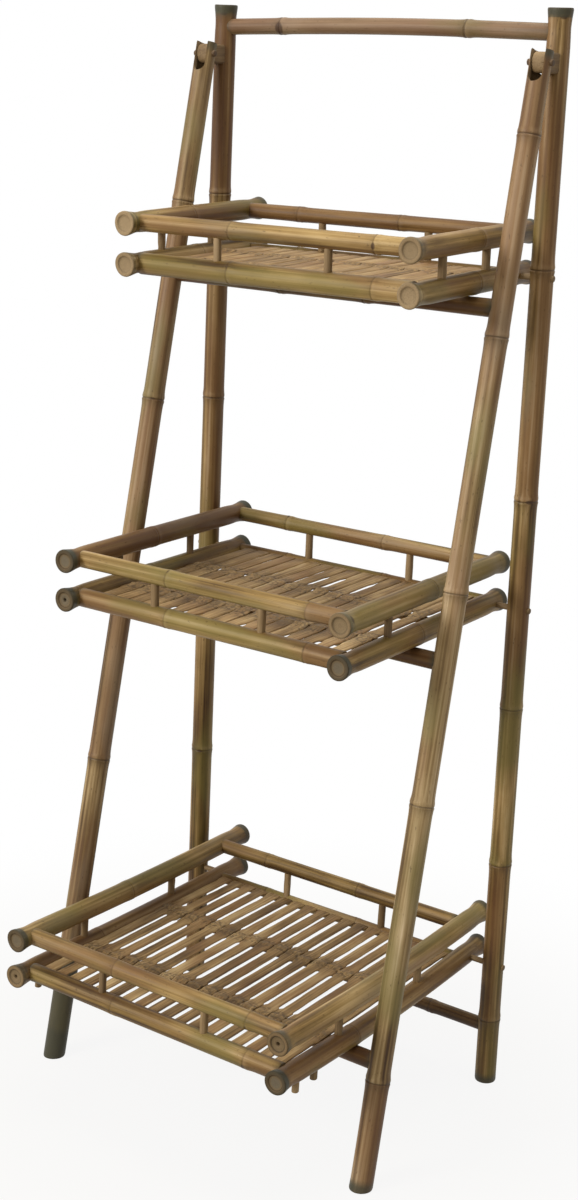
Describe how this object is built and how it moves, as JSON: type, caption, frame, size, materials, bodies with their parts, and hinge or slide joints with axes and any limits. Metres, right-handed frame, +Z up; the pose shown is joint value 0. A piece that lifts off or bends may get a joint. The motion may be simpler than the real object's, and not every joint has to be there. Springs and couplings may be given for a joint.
{
  "type": "ladder shelf",
  "caption": "Folding bamboo ladder shelf: upright rear frame, leaning front legs on pins, and railed slatted trays that grow deeper towards the floor and fold up flat.",
  "frame": {"origin": "on the floor, under the middle of the overall width and depth", "axes": "+X to the right seen from the front, +Y to the back (the upright poles), +Z up"},
  "size_m": [0.5347, 0.4944, 1.4001],
  "materials": {
    "pole_bamboo": "smoked olive-brown culm with a dull natural sheen",
    "rail_bamboo": "smoked olive-brown culm with a dull natural sheen",
    "split_bamboo": "split culm, matt and fibrous",
    "dowel_bamboo": "darker whittled bamboo, matt"
  },
  "bodies": {
    "rear_frame": {"rear_pole_left": "pole_bamboo", "rear_pole_right": "pole_bamboo", "top_bar": "rail_bamboo", "rear_low_bar": "rail_bamboo", "rear_nails": "dowel_bamboo", "leg_tongue_left": "dowel_bamboo", "leg_tongue_right": "dowel_bamboo"},
    "front_frame": {"front_leg_left": "pole_bamboo", "front_leg_right": "pole_bamboo", "front_bar_top": "rail_bamboo", "front_bar_middle": "rail_bamboo", "front_bar_bottom": "rail_bamboo", "front_nails": "dowel_bamboo", "leg_pivot_pins": "dowel_bamboo"},
    "top_tray": {"top_tray_upper_rail_left": "rail_bamboo", "top_tray_upper_rail_right": "rail_bamboo", "top_tray_lower_rail_left": "rail_bamboo", "top_tray_lower_rail_right": "rail_bamboo", "top_tray_front_rail_upper": "rail_bamboo", "top_tray_front_rail_lower": "rail_bamboo", "top_tray_rear_rail_upper": "rail_bamboo", "top_tray_rear_rail_lower": "rail_bamboo", "top_tray_spindles": "dowel_bamboo", "top_tray_battens": "split_bamboo", "top_tray_slats": "split_bamboo", "top_tray_hinge_pins": "dowel_bamboo"},
    "middle_tray": {"middle_tray_upper_rail_left": "rail_bamboo", "middle_tray_upper_rail_right": "rail_bamboo", "middle_tray_lower_rail_left": "rail_bamboo", "middle_tray_lower_rail_right": "rail_bamboo", "middle_tray_front_rail_upper": "rail_bamboo", "middle_tray_front_rail_lower": "rail_bamboo", "middle_tray_rear_rail_upper": "rail_bamboo", "middle_tray_rear_rail_lower": "rail_bamboo", "middle_tray_spindles": "dowel_bamboo", "middle_tray_battens": "split_bamboo", "middle_tray_slats": "split_bamboo", "middle_tray_hinge_pins": "dowel_bamboo"},
    "bottom_tray": {"bottom_tray_upper_rail_left": "rail_bamboo", "bottom_tray_upper_rail_right": "rail_bamboo", "bottom_tray_lower_rail_left": "rail_bamboo", "bottom_tray_lower_rail_right": "rail_bamboo", "bottom_tray_front_rail_upper": "rail_bamboo", "bottom_tray_front_rail_lower": "rail_bamboo", "bottom_tray_rear_rail_upper": "rail_bamboo", "bottom_tray_rear_rail_lower": "rail_bamboo", "bottom_tray_spindles": "dowel_bamboo", "bottom_tray_battens": "split_bamboo", "bottom_tray_slats": "split_bamboo", "bottom_tray_hinge_pins": "dowel_bamboo", "bottom_tray_stop_pegs": "dowel_bamboo"}
  },
  "joints": [
    {"name": "front_legs_fold", "type": "hinge", "parent": "rear_frame", "child": "front_frame", "pos_m": [0, 0.159, 1.338], "axis": [1, 0, 0], "range_deg": [0, 11.6]},
    {"name": "top_tray_fold", "type": "hinge", "parent": "rear_frame", "child": "top_tray", "pos_m": [0, 0.201, 1.09], "axis": [-1, 0, 0], "range_deg": [0, 90]},
    {"name": "middle_tray_fold", "type": "hinge", "parent": "rear_frame", "child": "middle_tray", "pos_m": [0, 0.201, 0.673], "axis": [-1, 0, 0], "range_deg": [0, 90]},
    {"name": "bottom_tray_fold", "type": "hinge", "parent": "rear_frame", "child": "bottom_tray", "pos_m": [0, 0.201, 0.173], "axis": [-1, 0, 0], "range_deg": [0, 90]}
  ]
}
